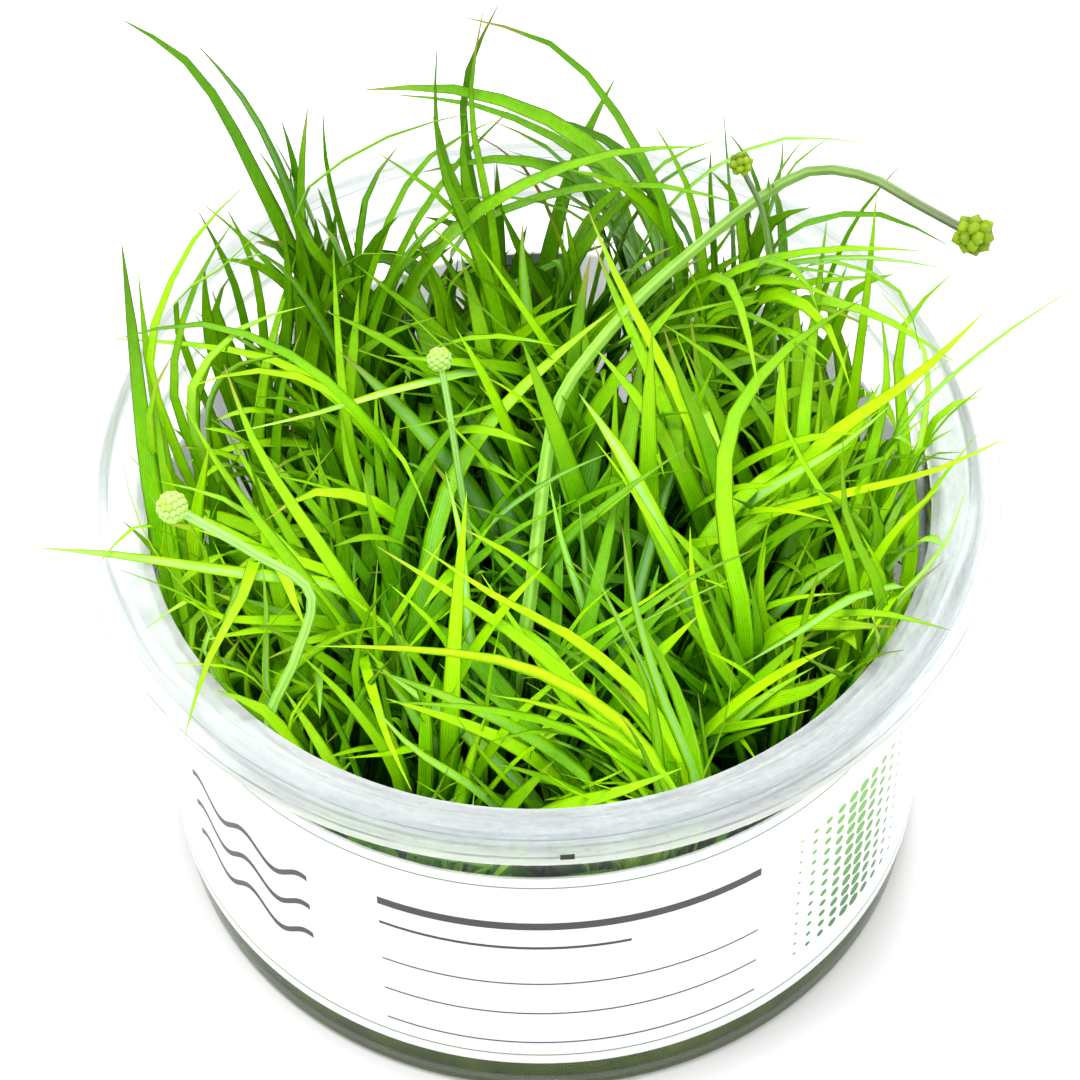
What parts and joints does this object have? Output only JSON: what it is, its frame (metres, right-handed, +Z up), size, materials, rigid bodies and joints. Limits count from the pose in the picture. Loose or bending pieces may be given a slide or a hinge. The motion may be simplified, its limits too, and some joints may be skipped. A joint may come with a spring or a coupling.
{
  "type": "tissue culture eriocaulon cinereum",
  "caption": "Clear plastic cup with a plain paper band, culture gel and a dense tuft of grassy pipewort leaves with small button flower heads.",
  "frame": {"origin": "centre of the cup's flat base, on the face it rests on", "axes": "+Z up out of the cup, -Y towards the viewer of the picture and the front of the band, +X to the viewer's right"},
  "size_m": [0.0895, 0.08, 0.07],
  "materials": {
    "clear_plastic": "clear, thin and glossy, faintly bluish where it is thick",
    "paper": "smooth white label paper",
    "gel": "translucent olive agar gel, wet",
    "leaf": "thin translucent grassy leaf, satin with fine lengthwise veins",
    "stalk": "pale green, satin",
    "flower_head": "tiny packed bracts, matte"
  },
  "bodies": {
    "root": {"cup": "clear_plastic", "paper_band": "paper", "culture_gel": "gel", "flower_stalk_long": "stalk", "flower_head_long": "flower_head", "flower_stalk_left": "stalk", "flower_head_left": "flower_head", "flower_stalk_middle": "stalk", "flower_head_middle": "flower_head", "flower_stalk_back": "stalk", "flower_head_back": "flower_head", "plant_01": "leaf", "plant_02": "leaf", "plant_03": "leaf", "plant_04": "leaf", "plant_05": "leaf", "plant_06": "leaf", "plant_07": "leaf", "plant_08": "leaf", "plant_09": "leaf", "plant_10": "leaf", "plant_11": "leaf", "plant_12": "leaf", "plant_13": "leaf", "plant_14": "leaf", "plant_15": "leaf", "plant_16": "leaf", "plant_17": "leaf", "plant_18": "leaf", "plant_19": "leaf", "plant_20": "leaf", "plant_21": "leaf", "plant_22": "leaf", "plant_23": "leaf", "plant_24": "leaf", "plant_25": "leaf", "plant_26": "leaf", "plant_27": "leaf", "plant_28": "leaf", "plant_29": "leaf", "plant_30": "leaf"}
  },
  "joints": []
}
